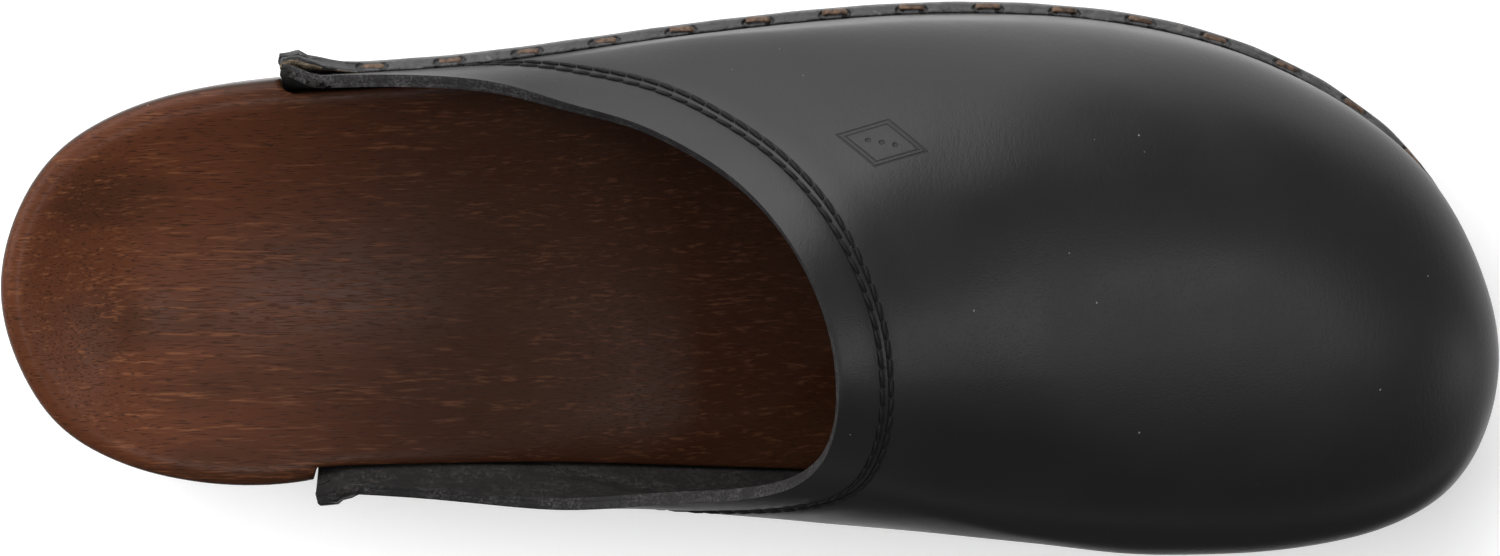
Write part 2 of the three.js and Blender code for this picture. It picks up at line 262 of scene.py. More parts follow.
def use_group(tree, group, **inputs):
    node = tree.nodes.new("ShaderNodeGroup")
    node.node_tree = group
    for name, value in inputs.items():
        node.inputs[name].default_value = value
    return node.outputs


# %% [markdown]
# ## The wooden sole
# A clog's sole is cut from one block of a pale, close-grained wood, sanded, stained dark brown and
# lacquered. Its edge is rounded over at the heel, and its footbed is a shallow dish. The packed
# solid already has that form, so a Subdivision Surface only takes its facets away. The rebate's
# corners are creased, because a router leaves them crisp.

# %% Sole
def make_sole():
    bm = quads_of("sole")
    crease_sharp(bm, math.radians(52), 0.75)
    obj = object_from(subdivided(bm, "coarse_sole", 2), "wooden_sole")
    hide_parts("sole")
    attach(obj, "root")
    print("wooden_sole has", len(obj.data.polygons), "faces")
    return obj


sole = make_sole()

# %% [markdown]
# The stain sinks in unevenly. It is redder at the heel and almost black towards the toe, under the
# leather: partly the stain, partly painted shade where the upper covers the footbed. Short dark
# pores and pale flecks run along the shoe, a few millimetres long and much thinner than that, so both
# are noises drawn out along X. The sawn wall round the sole is darker than the footbed: partly it drinks
# more stain, partly it carries painted shade on the faces that turn away from above. The pores stay a
# little open under the lacquer, which a low bump shows.

# %% Stained wood
def stained_wood():
    material, tree, shader = new_finish("stained_wood")
    place = object_place(tree)
    along = put(tree, "SeparateXYZ", {0: place}).outputs[0]
    clouds = rough_noise(tree, place, 46.0, 3.0, (0.4, 1, 1))
    bands = rough_noise(tree, place, 520.0, 3.0, (0.03, 1, 1))
    streaks = rough_noise(tree, place, 2000.0, 4.0, (0.085, 1, 1))
    pores = rough_noise(tree, place, 3600.0, 2.0, (0.09, 1, 1))
    # Painted shade, with the stain: the footbed and its pale flecks grow almost black towards the toe,
    # where the upper covers them.
    deep = fade(tree, along, -0.128, -0.05)
    base = tint(tree, deep, rgb(0.08, 0.0255, 0.0115), rgb(0.0205, 0.0068, 0.0031))
    base = tint(tree, fade(tree, clouds, 0.45, 0.64, 0.0, 0.5), base, rgb(0.024, 0.0105, 0.0052))
    lit = calc(tree, "MULTIPLY", fade(tree, streaks, 0.5, 0.68), fade(tree, bands, 0.4, 0.62))
    pale = tint(tree, deep, rgb(0.165, 0.062, 0.027), rgb(0.055, 0.0205, 0.0095))
    base = lay_on(tree, base, lit, 0.75, pale)
    pits = fade(tree, pores, 0.56, 0.66)
    base = lay_on(tree, base, pits, 0.6, rgb(0.012, 0.005, 0.003))
    # Painted shade on the wall, with its deeper stain: the less a face looks up, the darker it is
    # painted.
    facing_up = put(tree, "SeparateXYZ", {0: put(tree, "NewGeometry").outputs["Normal"]}).outputs[2]
    wall = fade(tree, facing_up, 0.3, 0.8, 0.75, 0.0)
    base = tint(tree, wall, base, rgb(0.0125, 0.0075, 0.0048))
    specks = use_group(tree, dust, Fineness=420.0, Size=0.06, Share=0.012)["Mask"]
    base = lay_on(tree, base, specks, 0.35, rgb(0.4, 0.33, 0.28))
    roughness = fade(tree, streaks, 0.35, 0.7, 0.29, 0.38)
    height = weighted(tree, (streaks, 0.5), (pits, -1.0))
    finish_with(tree, shader, base, roughness, height, 0.015 * MM)
    shader.inputs["Specular IOR Level"].default_value = 0.12
    return material


sole.data.materials.append(stained_wood())

# %% [markdown]
# ## The leather upper
# The upper is cut from one hide, 2.3 mm thick, wetted, pulled over a wooden last and nailed down. The
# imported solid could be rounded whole, but its two sides couldn't be shaped as one skin. So it is
# modelled as such a sheet. The outer face of the solid is picked out by growing from the top of the
# toes until the surface turns a sharp corner, which it does only at a cut edge. That open sheet is
# rounded, shaped, and given its thickness again at the end.

# %% The outer face
ABOVE_TOES = Vector((0.09, -0.005, 0.2))


def grow_from(seed, angle):
    """The faces that can be reached from seed without crossing a corner sharper than angle."""
    found = {seed}
    waiting = [seed]
    while waiting:
        face = waiting.pop()
        for edge in face.edges:
            if edge.calc_face_angle(math.pi) > angle:
                continue
            for other in edge.link_faces:
                if other not in found:
                    found.add(other)
                    waiting.append(other)
    return found


def outer_sheet():
    bm = quads_of("upper")
    bm.faces.ensure_lookup_table()
    index = BVHTree.FromBMesh(bm).ray_cast(ABOVE_TOES, Vector((0, 0, -1)))[2]
    kept = grow_from(bm.faces[index], math.radians(50))
    gone = [face for face in bm.faces if face not in kept]
    bmesh.ops.delete(bm, geom=gone, context="FACES")
    print("the outer face has", len(bm.faces), "faces")
    return subdivided(bm, "coarse_upper", 2)


sheet = outer_sheet()

# %% [markdown]
# The collar is the sheet's top edge. Everything near it, such as the stitches, the facing and the
# soft valley that the stitches pull in, is placed by two numbers: how far along the collar, and how
# far from its edge. The four corners of the sheet split its border into four runs. The two long ones
# are the collar and the foot, and the collar is the higher one.

# %% The collar's line
def border_runs(bm):
    """Splits the border at its corners. Each run is a list of places, found from both its ends."""
    corners = [v for v in bm.verts if len(v.link_edges) == 2]
    runs = []
    for corner in corners:
        for first in corner.link_edges:
            run = [corner]
            edge = first
            while True:
                vert = edge.other_vert(run[-1])
                run.append(vert)
                if vert in corners:
                    break
                edge = next(e for e in vert.link_edges if e.is_boundary and e != edge)
            runs.append([v.co.copy() for v in run])
    return runs


def spaced(points, step):
    """Places at even steps along a line, without its ends."""
    found = []
    carried = 0.0
    for start, end in zip(points, points[1:]):
        length = (end - start).length
        at = step - carried
        while at <= length:
            found.append(start.lerp(end, at / length))
            at += step
        carried = (carried + length) % step
    return found


def collar_line(bm):
    """The collar's places, from the outer wing's tip to the inner one's."""
    long_runs = sorted(border_runs(bm), key=len)[-4:]
    highest = max(long_runs, key=lambda run: sum(p.z for p in run) / len(run))
    return highest if highest[0].y > highest[-1].y else highest[::-1]


def lookup_of(places):
    """A tree that quickly finds the nearest of some places and its number."""
    tree = kdtree.KDTree(len(places))
    for number, place in enumerate(places):
        tree.insert(place, number)
    tree.balance()
    return tree


LINE_STEP = 0.25 * MM
collar = collar_line(sheet)
collar_places = [collar[0]] + spaced(collar, LINE_STEP)
collar_lookup = lookup_of(collar_places)
collar_length = len(collar_places) * LINE_STEP
print("the collar is", round(collar_length / MM), "mm long")


def by_collar(place):
    """How far along the collar a place lies, and how far from its edge, in metres."""
    _, number, distance = collar_lookup.find(place)
    return number * LINE_STEP, distance


# %% [markdown]
# A shop-new clog has no wear creases, and its leather is only a little uneven from being pulled over
# the last. The band along the collar swells slightly, the two rows of stitches draw the leather into
# a shallow valley, and a few broad troughs and ridges lie over the instep and toes. A displacement
# texture would spread such folds evenly, so each is listed: where its middle lies, which way
# it runs in degrees, how long and how wide it is, and how high, where a trough's height is below 0.

# %% Valley, swell and soft folds
FIRST_ROW = 8.1 * MM
SECOND_ROW = 9.7 * MM
FACING = 13.0 * MM
BAND_SWELL = 0.12 * MM
VALLEY_DEPTH = 0.2 * MM
VALLEY_WIDTH = 1.5 * MM
FACING_STEP = 0.05 * MM
FACING_STEP_WIDTH = 2.2 * MM
UNEVENNESS = 0.1 * MM
TIP_LIFT = 2.4 * MM
TIP_REACH = 7 * MM
TIP_FADE = (2 * MM, 11 * MM)
FOLDS = [
    ((0.030, 0.024), 62, 0.030, 0.0075, -0.00022),
    ((0.046, 0.020), 66, 0.032, 0.0085, 0.00018),
    ((0.052, -0.030), 108, 0.026, 0.0080, -0.00022),
    ((0.070, -0.026), 100, 0.026, 0.0090, 0.00018),
    ((0.104, 0.012), 80, 0.030, 0.0100, -0.00015),
    ((0.020, 0.036), 35, 0.020, 0.0060, -0.00018),
]


def refine_band(bm, reach):
    """Cuts the faces near the collar finer, across the band only."""
    edges = []
    for edge in bm.edges:
        from_one, from_two = (by_collar(vert.co)[1] for vert in edge.verts)
        across = abs(from_one - from_two) > 0.6 * edge.calc_length()
        if across and min(from_one, from_two) < reach:
            edges.append(edge)
    bmesh.ops.subdivide_edges(bm, edges=edges, cuts=3, use_grid_fill=True)


def fold_at(place):
    """The height of all the folds together at a place."""
    total = 0.0
    for (x, y), turn, length, width, height in FOLDS:
        away = Vector((place.x - x, place.y - y))
        away.rotate(Matrix.Rotation(-math.radians(turn), 2))
        total += height * bump_curve(away.x, 0, length) * bump_curve(away.y, 0, width)
    return total


def tip_curl(along, distance):
    """The tips of both wings curl outward, with the strip's loose ends."""
    to_tip = min(along, collar_length - along)
    return TIP_LIFT * (1 - smooth_step(0, TIP_REACH, to_tip)) * (1 - smooth_step(*TIP_FADE, distance))


def proud_of(place):
    """How far the leather stands out from its plain form, in metres."""
    along, distance = by_collar(place)
    swell = BAND_SWELL * math.sin(math.pi * min(distance / FIRST_ROW, 1.0))
    valley = VALLEY_DEPTH * bump_curve(distance, 0.5 * (FIRST_ROW + SECOND_ROW), VALLEY_WIDTH)
    step = FACING_STEP * bump_curve(distance, FACING, FACING_STEP_WIDTH)
    uneven = UNEVENNESS * noise.noise(place * 60 + Vector((SEED, 0, 0)))
    return swell - valley + step + uneven + fold_at(place) + tip_curl(along, distance)


def shape_sheet(bm):
    """Moves every point of the sheet along its normal, after the band is fine enough for it."""
    refine_band(bm, FACING + 3 * MM)
    bm.normal_update()
    moves = [(v, v.normal.copy() * proud_of(v.co)) for v in bm.verts]
    for vert, move in moves:
        vert.co += move
    bm.normal_update()


shape_sheet(sheet)
leather_tree = BVHTree.FromBMesh(sheet)

# %% [markdown]
# The strip and its staples lie round the upper's foot. Their line is a second ruler, read from the
# packed staples themselves: it tells which staple a place is beside, and how high the staples are
# there.

# %% Where the staples are
staple_names = sorted(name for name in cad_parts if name.startswith("staple_"))


def middle_of(node):
    low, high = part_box(node)
    return 0.5 * (low + high)


staple_middles = [middle_of(name) for name in staple_names]
RUN_ON = 9.0


def staple_count(place):
    """Counts along the strip: a whole number at each staple, and it runs on past both ends."""
    flat = Vector((place.x, place.y, 0))
    best = (1.0, 0.0)
    for i in range(len(staple_middles) - 1):
        start = staple_middles[i].xy.to_3d()
        step = staple_middles[i + 1].xy.to_3d() - start
        share = (flat - start).dot(step) / step.length_squared
        low = -RUN_ON if i == 0 else 0.0
        high = RUN_ON if i == len(staple_middles) - 2 else 1.0
        share = min(max(share, low), high)
        best = min(best, ((flat - start - share * step).length, i + share))
    return best[1]


def level_at(place):
    """The height of the staples' line beside a place."""
    count = staple_count(place)
    low = min(max(int(count), 0), len(staple_middles) - 2)
    share = min(max(count - low, 0.0), 1.0)
    return staple_middles[low].z * (1 - share) + staple_middles[low + 1].z * share


# %% [markdown]
# At the collar the upper has two layers. The hide itself is pared to 1.45 mm there and a facing of
# 0.8 mm is sewn inside it, so the cut edge shows as two plies. The hide's thickness comes from a
# Solidify modifier, which can follow a vertex group and give the flesh side and the cut edge finishes
# of their own. Extruding the sheet would do too, but then its thickness couldn't change by weight. The
# faces also carry the collar's two numbers as a UV map. Just over the strip, where the leather meets it,
# the leather is made matt and carries a painted shade.

# %% Upper and facing
LEATHER = 2.3 * MM
PARED = 1.45 * MM
FACING_PLY = 0.8 * MM
PLY_GAP = 0.02 * MM
FOOT_SHADE_BAND = (0.5 * MM, 7 * MM)
UV_SIDE = 0.1


def map_to_collar(bm):
    """Writes how far along and how far from the collar, in UV squares of 0.1 m, as a UV map."""
    layer = bm.loops.layers.uv.new("collar")
    for face in bm.faces:
        for loop in face.loops:
            along, distance = by_collar(loop.vert.co)
            loop[layer].uv = (along / UV_SIDE, distance / UV_SIDE)


def thicken(obj, thickness, group=""):
    """Gives a sheet its wall, which grows inwards, and breaks its sharp edges."""
    ply = obj.modifiers.new("thickness", "SOLIDIFY")
    ply.thickness = thickness
    ply.offset = -1.0
    ply.use_even_offset = False
    ply.material_offset = 1
    ply.material_offset_rim = 2
    ply.vertex_group = group
    arris = obj.modifiers.new("soft edges", "BEVEL")
    arris.width = 0.28 * MM
    arris.segments = 2
    arris.limit_method = "ANGLE"
    arris.angle_limit = math.radians(55)
    arris.use_clamp_overlap = True


def foot_shade_at(place):
    """The painted shade's band: 1 where the leather meets the strip, falling to 0 a few millimetres
    above.
    """
    return 1 - smooth_step(*FOOT_SHADE_BAND, place.z - level_at(place))


def make_upper(bm):
    copy = bm.copy()
    map_to_collar(copy)
    obj = object_from(copy, "leather_upper")
    group = obj.vertex_groups.new(name="hide")
    for vert in obj.data.vertices:
        _, distance = by_collar(vert.co)
        share = PARED + (LEATHER - PARED) * smooth_step(FACING - MM, FACING + MM, distance)
        group.add([vert.index], share / LEATHER, "REPLACE")
    # The band just over the strip, where the finish paints shade and makes the leather matt.
    matt_foot_shade = obj.data.attributes.new("matt_foot_shade", "FLOAT", "POINT")
    matt_foot_shade.data.foreach_set("value", [foot_shade_at(vert.co) for vert in obj.data.vertices])
    thicken(obj, LEATHER, "hide")
    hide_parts("upper")
    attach(obj, "root")
    print("leather_upper's outer face has", len(obj.data.polygons), "faces")
    return obj


def make_facing(bm):
    """The ply inside the collar, as far down as the facing goes."""
    copy = bm.copy()
    far = [face for face in copy.faces if by_collar(face.calc_center_median())[1] > FACING]
    bmesh.ops.delete(copy, geom=far, context="FACES")
    copy.normal_update()
    for vert in copy.verts:
        vert.co -= vert.normal * (PARED + PLY_GAP)
    map_to_collar(copy)
    obj = object_from(copy, "collar_facing")
    thicken(obj, FACING_PLY)
    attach(obj, "root")
    return obj


upper = make_upper(sheet)
facing = make_facing(sheet)

# %% [markdown]
# The mark on the vamp is pressed in with a hot die. Here it is a plain lozenge of two lines with a
# row of three dots, no maker's sign. It is drawn in a frame of its own that lies on the leather: a
# Mapping node turns object coordinates into it, and the lines are where a simple distance is near a
# chosen value. Its lines are only about half a millimetre wide, so a bump makes them and not the mesh.

# %% Pressed lozenge
ABOVE_MARK = Vector((0.0235, 0.0325, 0.2))
MARK_HEADING = Vector((1, -0.36, 0))
MARK_SLOPE = (0.54, 0.84)
MARK_RINGS = ((4.4 * MM, 0.26 * MM), (3.6 * MM, 0.2 * MM))
MARK_REACH = 5 * MM
DOT_PITCH = 2.5 * MM
DOT_EDGE = (0.35 * MM, 0.6 * MM)
DOTS_END = 3.4 * MM


def mark_frame():
    """Centre and turn of the mark's own axes on the leather."""
    centre, normal, _, _ = leather_tree.ray_cast(ABOVE_MARK, Vector((0, 0, -1)))
    along = (MARK_HEADING - normal * MARK_HEADING.dot(normal)).normalized()
    axes = Matrix((along, normal.cross(along), normal)).transposed()
    return centre, axes.to_euler()


def ring_line(tree, distance, level, half):
    """A line where distance is near level: 1 in its middle, and 0 from half its width on."""
    away = calc(tree, "ABSOLUTE", calc(tree, "SUBTRACT", distance, level))
    return fade(tree, away, 0.4 * half, half, 1.0, 0.0)


def lozenge(tree, place):
    """Mask of the pressed lines and dots."""
    centre, turn = mark_frame()
    inputs = {"Vector": place, "Location": centre, "Rotation": turn}
    turned = put(tree, "Mapping", inputs, vector_type="TEXTURE")
    parts = put(tree, "SeparateXYZ", {0: turned.outputs[0]})
    x, y, z = (calc(tree, "ABSOLUTE", part) for part in parts.outputs)
    rim = weighted(tree, (x, MARK_SLOPE[0]), (y, MARK_SLOPE[1]))
    outer, inner = (ring_line(tree, rim, level, half) for level, half in MARK_RINGS)
    to_dot = span(tree, calc(tree, "PINGPONG", x, 0.5 * DOT_PITCH), y)
    in_row = calc(tree, "LESS_THAN", x, DOTS_END)
    dots = calc(tree, "MULTIPLY", fade(tree, to_dot, *DOT_EDGE, 1.0, 0.0), in_row)
    pressed = calc(tree, "MAXIMUM", calc(tree, "MAXIMUM", outer, inner), dots)
    return calc(tree, "MULTIPLY", pressed, calc(tree, "LESS_THAN", z, MARK_REACH))


# %% [markdown]
# Smooth black box leather is nearly plain. Its colour hardly changes, and what the eye reads is the
# broad soft highlight and the finest grain in it: tiny pores with faint lines between them, drawn out
# across the shoe. Where the leather is squeezed, under the stitches and in the pressed mark, it is
# darker and duller. Such fine relief would need millions of faces, so all of it is a bump.

# %% Black leather, grain side
FURROW_HALF = 0.62 * MM


def from_collar(tree):
    """How far from the collar's edge, in metres, from the UV map."""
    uv = put(tree, "UVMap", uv_map="collar").outputs[0]
    return calc(tree, "MULTIPLY", put(tree, "SeparateXYZ", {0: uv}).outputs[1], UV_SIDE)


def stitch_furrow(tree):
    """Mask of the furrows under both rows of stitches."""
    distance = from_collar(tree)
    first, second = (ring_line(tree, distance, row, FURROW_HALF) for row in (FIRST_ROW, SECOND_ROW))
    return calc(tree, "MAXIMUM", first, second)


def grain_leather():
    material, tree, shader = new_finish("black_leather")
    place = object_place(tree)
    furrow = stitch_furrow(tree)
    mark = lozenge(tree, place)
    clouds = rough_noise(tree, place, 38.0, 3.0)
    hairlines = rough_noise(tree, place, 1400.0, 3.0, (1, 0.22, 0.5))
    cells = put(tree, "TexVoronoi", {"Vector": place, "Scale": 2300.0})
    pores = fade(tree, cells.outputs["Distance"], 0.0, 0.55)
    base = tint(tree, clouds, rgb(0.0066, 0.006, 0.0063), rgb(0.0108, 0.01, 0.0104))
    # Painted shade: the leather is painted darker just over the strip, where it meets it, and rougher
    # there.
    matt_foot_shade = put(tree, "Attribute", attribute_name="matt_foot_shade").outputs["Fac"]
    base = lay_on(tree, base, matt_foot_shade, 0.6, rgb(0.004, 0.004, 0.004))
    specks = use_group(tree, dust, Fineness=230.0, Size=0.04, Share=0.25)["Mask"]
    base = lay_on(tree, base, specks, 0.4, rgb(0.33, 0.32, 0.31))
    pressed = calc(tree, "MAXIMUM", mark, furrow)
    base = lay_on(tree, base, pressed, 0.6, rgb(0.004, 0.004, 0.004))
    plain = fade(tree, clouds, 0.3, 0.7, 0.36, 0.42)
    roughness = weighted(tree, (plain, 1.0), (pressed, 0.2), (matt_foot_shade, 0.2))
    height = weighted(tree, (pores, 0.05), (hairlines, 0.1), (mark, -0.85), (furrow, -0.6))
    finish_with(tree, shader, base, roughness, height, 0.25 * MM)
    shader.inputs["Specular IOR Level"].default_value = 0.33
    return material


# %% [markdown]
# The flesh side is matted and dull, dyed through to a dark grey. A cut edge shows the same fibres
# end-on, finer and a little lighter. The strip was cut from a hide that was dyed on one side only, so
# its back is tan. All three are one finish with other colours and another fineness, because their
# fibres are alike.

# %% Flesh sides and cut edges
def fibre_finish(name, dark, light, depth, fineness):
    material, tree, shader = new_finish(name)
    hairs = use_group(tree, fibres, Fineness=fineness)
    stains = rough_noise(tree, object_place(tree), 90.0, 3.0)
    base = tint(tree, hairs["Mask"], dark, light)
    shade = tint(tree, fade(tree, stains, 0.4, 0.65, 0.0, 0.5), base, dark)
    roughness = fade(tree, hairs["Height"], 0.3, 0.8, 0.95, 0.72)
    finish_with(tree, shader, shade, roughness, hairs["Height"], depth)
    shader.inputs["Specular IOR Level"].default_value = 0.3
    return material


black_leather = grain_leather()
dyed_flesh = fibre_finish(
    "dyed_flesh", rgb(0.008, 0.007, 0.0068), rgb(0.034, 0.031, 0.029), 0.2 * MM, 1500.0
)
dyed_edge = fibre_finish(
    "dyed_edge", rgb(0.012, 0.011, 0.0115), rgb(0.058, 0.055, 0.057), 0.12 * MM, 2600.0
)
tan_flesh = fibre_finish(
    "tan_flesh", rgb(0.1, 0.075, 0.05), rgb(0.36, 0.29, 0.21), 0.2 * MM, 1500.0
)
for finish in (black_leather, dyed_flesh, dyed_edge):
    upper.data.materials.append(finish)
for finish in (dyed_flesh, dyed_flesh, dyed_edge):
    facing.data.materials.append(finish)

# %% [markdown]
# ## The stitches
# Two rows of black waxed thread hold the facing. Each stitch is a short rod with round ends, sunk at
# both ends where it dives into its hole. A bump could draw them, but it would look flat from the side,
# so one is shaped from a UV sphere and copied along each row. The row is found by walking down over
# the leather, square to the collar's edge. The stitches lean a little, the two rows in opposite ways.

# %% Rows of stitches
THREAD = 0.36 * MM
STITCH_PITCH = 3.5 * MM
STITCH_LIFT = 0.1 * MM
STITCH_LEAN = 0.1


def walk_in(start, tangent, distance, steps=10):
    """Walks over the leather from the collar's edge and returns the place and the normal there."""
    place, normal, _, _ = leather_tree.find_nearest(start)
    heading = normal.cross(tangent).normalized()
    for _ in range(steps):
        heading = (heading - normal * heading.dot(normal)).normalized()
        place, normal, _, _ = leather_tree.find_nearest(place + heading * distance / steps)
    return place, normal


def row_places(distance):
    """Places and normals, one a millimetre, along the collar at a distance from its edge."""
    found = []
    stride = round(2 * MM / LINE_STEP)
    for i in range(stride, len(collar_places) - stride, round(MM / LINE_STEP)):
        tangent = (collar_places[i + stride] - collar_places[i - stride]).normalized()
        found.append(walk_in(collar_places[i], tangent, distance))
    return found


def thread_piece():
    """One stitch along X, its ends turned down."""
    bm = bmesh.new()
    bmesh.ops.create_uvsphere(bm, u_segments=8, v_segments=6, radius=THREAD)
    bmesh.ops.rotate(bm, verts=bm.verts, matrix=Matrix.Rotation(math.radians(90), 3, "Y"))
    reach = 0.5 * STITCH_PITCH - 0.1 * THREAD
    for vert in bm.verts:
        if abs(vert.co.x) > 0.2 * THREAD:
            vert.co.x += math.copysign(reach - THREAD, vert.co.x)
        vert.co.z -= 0.55 * THREAD * (vert.co.x / reach) ** 6
    return bm


def add_copy(bm, mesh, axes):
    """Adds a copy of a mesh to a bmesh, placed by a matrix."""
    copy = mesh.copy()
    copy.transform(axes)
    bm.from_mesh(copy)
    bpy.data.meshes.remove(copy)


def add_row(bm, piece, distance, lean):
    """Copies the stitch along a row, each one turned to lie on the leather."""
    row = row_places(distance)
    points = [place for place, _ in row]
    ends = spaced(points, STITCH_PITCH)
    lookup = lookup_of(points)
    for start, end in zip(ends, ends[1:]):
        middle = 0.5 * (start + end)
        normal = row[lookup.find(middle)[1]][1]
        along = (end - start).normalized()
        side = normal.cross(along).normalized()
        along = (along + lean * side).normalized()
        axes = Matrix((along, normal.cross(along), normal)).transposed().to_4x4()
        axes.translation = middle + normal * STITCH_LIFT
        add_copy(bm, piece, axes)
    return len(ends) - 1


def make_stitches():
    piece = bpy.data.meshes.new("stitch")
    one = thread_piece()
    one.to_mesh(piece)
    one.free()
    bm = bmesh.new()
    rows = ((FIRST_ROW, STITCH_LEAN), (SECOND_ROW, -STITCH_LEAN))
    counts = [add_row(bm, piece, distance, lean) for distance, lean in rows]
    bpy.data.meshes.remove(piece)
    obj = object_from(bm, "collar_stitches")
    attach(obj, "root")
    print("stitches in the two rows:", counts)
    return obj


def waxed_thread():
    material, tree, shader = new_finish("waxed_thread")
    twist = rough_noise(tree, object_place(tree), 3200.0, 2.0, (1, 0.35, 0.6))
    base = tint(tree, twist, rgb(0.0015, 0.0015, 0.0016), rgb(0.007, 0.0068, 0.007))
    finish_with(tree, shader, base, fade(tree, twist, 0.3, 0.7, 0.55, 0.75), twist, 0.1 * MM)
    shader.inputs["Specular IOR Level"].default_value = 0.2
    return material


stitches = make_stitches()
stitches.data.materials.append(waxed_thread())

# %% [markdown]
# ## The strip
# The strip is a lath of black leather nailed over the upper's foot. Each staple pinches it, and it
# swells between two staples. Its ends are cut off roughly, a little too long, and spring outward.
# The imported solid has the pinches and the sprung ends, so it is kept and not drawn anew along a curve.
# Here it is rounded and its back is pressed against the upper. Its ends are swollen and torn, and
# there the tan back and the cut edges show.

# %% Strip
TOE_X = 0.075
MIDDLE_Y = -0.005
STRIP_PRESS = 0.32 * MM
LOOSE_PART = (0.45, 0.95)
SIDES_FROM = 0.2
END_SWELL = 0.7 * MM
END_TEAR = 0.9 * MM
TEAR_FINENESS = 420
UV_STAPLES = 40
UV_LEVEL = 0.5


def outward_at(place):
    """Away from the foot, level with the floor: straight sideways, and all ways round the toe."""
    return Vector((max(place.x - TOE_X, 0), place.y - MIDDLE_Y, 0)).normalized()


def past_staples(place):
    """How far a place lies beyond the outermost staples, as a share of their pitch."""
    count = staple_count(place)
    return max(-count, count - len(staple_middles) + 1, 0)


def press_on(bm):
    """Presses the strip's back against the upper, and swells and tears its loose ends."""
    for vert in bm.verts:
        past = past_staples(vert.co)
        loose = smooth_step(*LOOSE_PART, past)
        if vert.normal.dot(outward_at(vert.co)) < -0.3:
            vert.co += STRIP_PRESS * vert.normal * (1 - loose)
        if loose > 0:
            rough = noise.noise_vector(vert.co * TEAR_FINENESS + Vector((SEED, SEED, 0)))
            vert.co += (END_SWELL * vert.normal + END_TEAR * rough) * loose


def map_to_strip(bm):
    """Writes the staple count and the height over the staples' level as a UV map."""
    layer = bm.loops.layers.uv.new("strip")
    numbers = {}
    for vert in bm.verts:
        height = vert.co.z - level_at(vert.co)
        numbers[vert] = (staple_count(vert.co) / UV_STAPLES, height / UV_SIDE + UV_LEVEL)
    for face in bm.faces:
        for loop in face.loops:
            loop[layer].uv = numbers[loop.vert]


def side_of(face):
    """1 for the tan back and 2 for the cut edges of a loose end, and 0 for the dyed face."""
    centre = face.calc_center_median()
    if past_staples(centre) < SIDES_FROM:
        return 0
    if face.normal.dot(outward_at(centre)) < -0.35:
        return 1
    return 2 if abs(face.normal.z) > 0.75 else 0


def make_strip():
    bm = quads_of("welt_strip")
    crease_sharp(bm, math.radians(60), 0.55)
    fine = subdivided(bm, "coarse_strip", 2)
    press_on(fine)
    fine.normal_update()
    for face in fine.faces:
        face.material_index = side_of(face)
    map_to_strip(fine)
    obj = object_from(fine, "nailed_strip")
    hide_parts("welt_strip")
    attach(obj, "root")
    print("nailed_strip has", len(obj.data.polygons), "faces")
    return obj


strip = make_strip()

# %% [markdown]
# Each leg of a staple pulls the strip's skin down into a small hole, and the shade in it is painted
# dark. The skin is finely creased all over, because the strip is bent round the foot and squeezed:
# painted shade darkens the creases, and their crests are lighter grey, partly scuffs and partly a
# painted sheen. Cutting 66 holes would gain little, so they are drawn where the strip's own two
# numbers come close to a leg.

# %% Strip leather
STAPLE_REACH = 2.15 * MM
STAPLE_PITCH = (staple_middles[10] - staple_middles[9]).length
HOLE_EDGE = (0.45 * MM, 1.1 * MM)


def leg_holes(tree):
    """Mask of the holes at the legs of every staple."""
    uv = put(tree, "UVMap", uv_map="strip").outputs[0]
    parts = put(tree, "SeparateXYZ", {0: uv})
    count = calc(tree, "MULTIPLY", parts.outputs[0], UV_STAPLES)
    to_staple = calc(tree, "MULTIPLY", calc(tree, "PINGPONG", count, 0.5), STAPLE_PITCH)
    along = calc(tree, "ABSOLUTE", calc(tree, "SUBTRACT", to_staple, STAPLE_REACH))
    over = calc(tree, "ABSOLUTE", calc(tree, "SUBTRACT", parts.outputs[1], UV_LEVEL))
    to_leg = span(tree, along, calc(tree, "MULTIPLY", over, UV_SIDE))
    return fade(tree, to_leg, *HOLE_EDGE, 1.0, 0.0)


def strip_leather():
    material, tree, shader = new_finish("strip_leather")
    place = object_place(tree)
    holes = leg_holes(tree)
    wrinkles = rough_noise(tree, place, 430.0, 5.0)
    clouds = rough_noise(tree, place, 120.0, 3.0)
    base = tint(tree, clouds, rgb(0.017, 0.0165, 0.018), rgb(0.034, 0.034, 0.036))
    # Painted shade in the creases, and on their crests a lighter grey that is partly scuffs, partly
    # painted sheen.
    crease_shade = fade(tree, wrinkles, 0.36, 0.46, 0.85, 0.0)
    base = tint(tree, crease_shade, base, rgb(0.006, 0.006, 0.006))
    crest_scuffs_and_sheen = fade(tree, wrinkles, 0.6, 0.7, 0.0, 0.45)
    base = tint(tree, crest_scuffs_and_sheen, base, rgb(0.12, 0.112, 0.106))
    # Painted shade in the holes at the staples' legs.
    base = tint(tree, holes, base, rgb(0.003, 0.003, 0.003))
    roughness = fade(tree, wrinkles, 0.3, 0.7, 0.42, 0.62)
    height = weighted(tree, (wrinkles, 0.9), (holes, -1.0))
    finish_with(tree, shader, base, roughness, height, 0.6 * MM)
    return material


for finish in (strip_leather(), tan_flesh, dyed_edge):
    strip.data.materials.append(finish)

# %% [markdown]
# ## The staples
# A staple is flat wire bent twice. A curve with a bevel could be one. Here it is made as it is bent: a
# flattened ring is drawn out along the crown, spun round the shoulder, drawn down the leg, and
# mirrored, which leaves few faces and a closed end. Its legs end inside the leather.

# %% One staple
WIRE = 0.58 * MM
WIRE_SHAPE = (1, 0.45, 1.05)
BEND = 0.55 * MM
LEG = 0.9 * MM


def those_of(kind, items):
    """Picks the corners or the edges out of what an operator returned."""
    return [item for item in items if isinstance(item, kind)]


